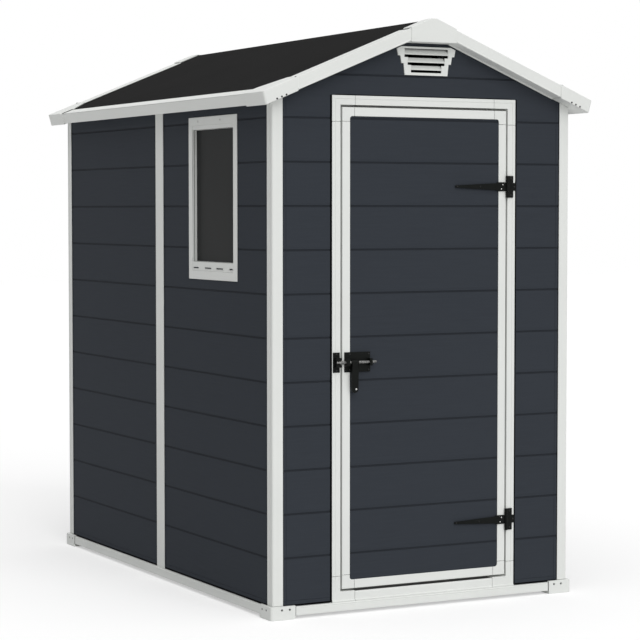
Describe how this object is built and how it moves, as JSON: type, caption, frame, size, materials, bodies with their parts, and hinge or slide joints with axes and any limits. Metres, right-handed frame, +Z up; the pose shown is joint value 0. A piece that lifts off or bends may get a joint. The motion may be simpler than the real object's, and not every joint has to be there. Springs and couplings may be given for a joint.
{
  "type": "garden shed",
  "caption": "Resin garden shed with board-pattern panel walls, pale framing, a pitched roof, a hinged door with strap hinges and a bolt latch, a fixed side window and gable vents.",
  "frame": {"origin": "centre of the base on the ground", "axes": "+Z up, -Y out of the door, -X out of the window wall"},
  "size_m": [1.286, 1.958, 1.9957],
  "materials": {
    "wall": "fine wood-grain moulding",
    "trim": "satin",
    "roof": "fine grain",
    "floor": "satin",
    "iron": "black powder coat",
    "pane": "smoked"
  },
  "bodies": {
    "shed": {"floor": "floor", "base_rails_ends": "trim", "base_rails_sides": "trim", "base_corners": "trim", "corner_posts": "trim", "side_posts": "trim", "front_wall_left": "wall", "front_wall_right": "wall", "front_gable": "wall", "left_wall_front": "wall", "left_wall_back": "wall", "right_wall_front": "wall", "right_wall_back": "wall", "back_wall": "wall", "back_gable": "wall", "roof_left": "roof", "roof_right": "roof", "ridge_beam": "trim", "rake_trims_front": "trim", "rake_trims_back": "trim", "eave_trims": "trim", "eave_soffits": "trim", "apex_caps": "trim", "roof_corners": "trim", "frame_jambs": "trim", "frame_head": "trim", "frame_sill": "trim", "frame_corners": "trim", "hinge_plates": "iron", "latch_keeper": "iron", "window_frame": "trim", "window_pane": "pane", "vents": "trim"},
    "door": {"door_panel": "wall", "door_stiles": "trim", "door_rails": "trim", "door_corners": "trim", "hinge_straps": "iron", "latch_plate": "iron"},
    "bolt": {"latch_bolt": "iron"},
    "handle": {"latch_handle": "iron"}
  },
  "joints": [
    {"name": "door_swing", "type": "hinge", "parent": "shed", "child": "door", "pos_m": [0.32475, -0.93, 0], "axis": [0, 0, 1], "range_deg": [0, 120]},
    {"name": "bolt_slide", "type": "slide", "parent": "door", "child": "bolt", "axis": [1, 0, 0], "range_m": [0, 0.033]},
    {"name": "handle_turn", "type": "hinge", "parent": "bolt", "child": "handle", "pos_m": [-0.278, -0.937, 0.846], "axis": [-1, 0, 0], "range_deg": [0, 90]}
  ]
}
